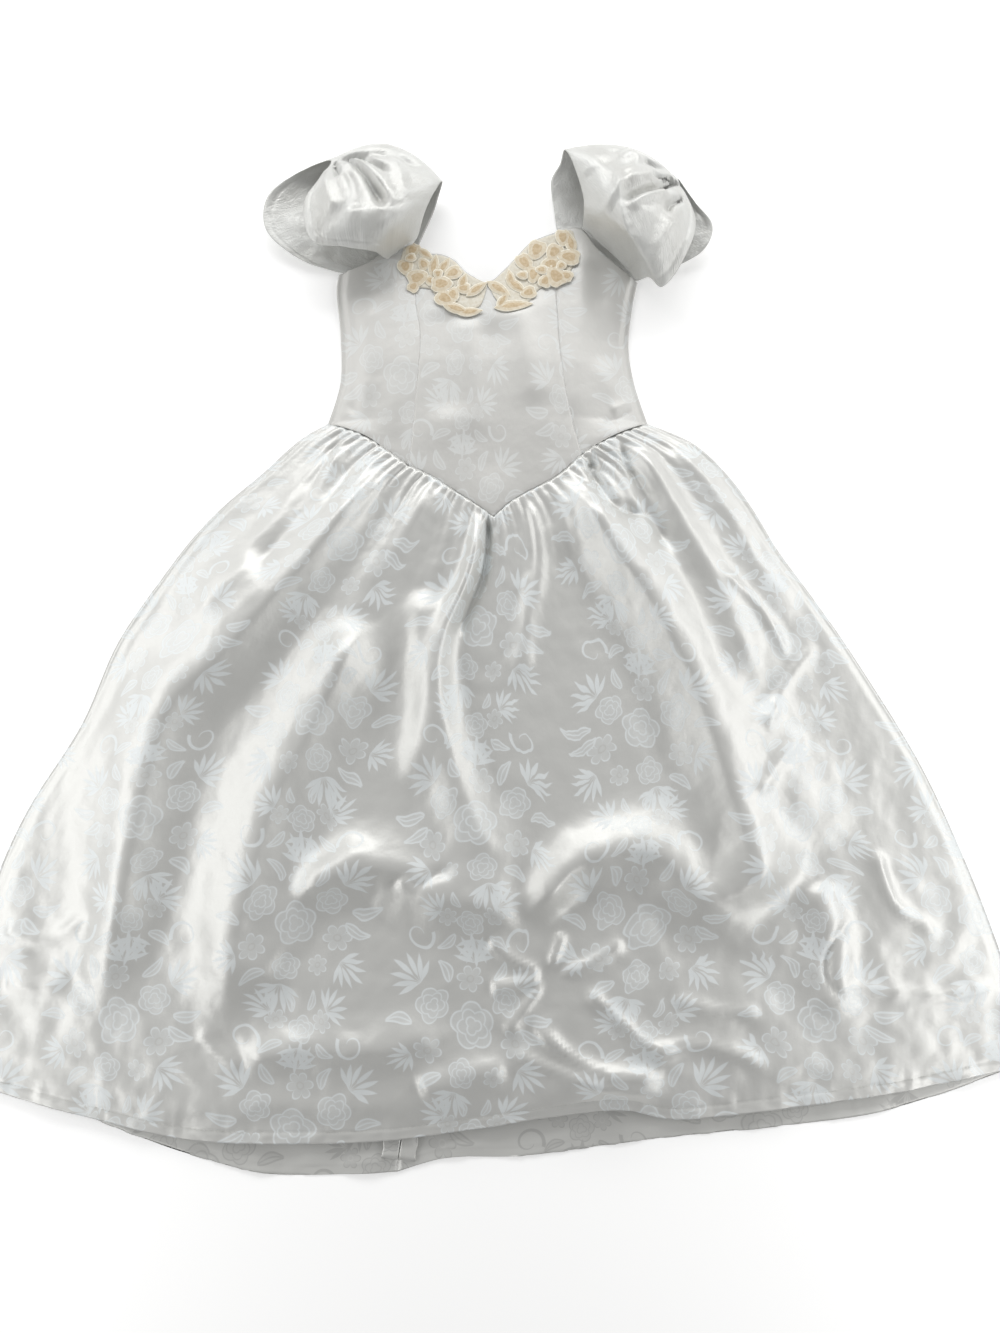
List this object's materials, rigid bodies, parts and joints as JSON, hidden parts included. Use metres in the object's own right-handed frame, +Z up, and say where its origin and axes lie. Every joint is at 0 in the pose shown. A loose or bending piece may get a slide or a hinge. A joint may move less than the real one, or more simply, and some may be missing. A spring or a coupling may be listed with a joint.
{
  "type": "wedding dress",
  "caption": "Floral jacquard satin wedding dress laid flat, with off-the-shoulder cinched sleeves, lace at a sweetheart neckline, a basque waist and a gathered skirt.",
  "frame": {"origin": "middle of the dress's plan, on the surface that its back lies on", "axes": "+Z up off that surface, +Y from the hem towards the neck, +X across the dress to the wearer's left"},
  "size_m": [1.299, 1.3358, 0.087],
  "materials": {
    "jacquard_satin": "silver-white floral jacquard satin, glossy ground with matt flowers and leaves",
    "plain_satin": "plain silver-white satin with a soft sheen",
    "appliqued_lace": "matt beige and cream floral lace",
    "zip_tape": "white woven tape over a concealed closure"
  },
  "bodies": {
    "root": {"bodice_centre_front": "jacquard_satin", "bodice_side_front_left": "jacquard_satin", "bodice_side_front_right": "jacquard_satin", "bodice_back_left": "jacquard_satin", "bodice_back_right": "jacquard_satin", "back_zip": "zip_tape", "skirt_front": "jacquard_satin", "skirt_back_left": "jacquard_satin", "skirt_back_right": "jacquard_satin", "sleeve_left": "plain_satin", "sleeve_right": "plain_satin", "lace_left": "appliqued_lace", "lace_right": "appliqued_lace"}
  },
  "joints": []
}
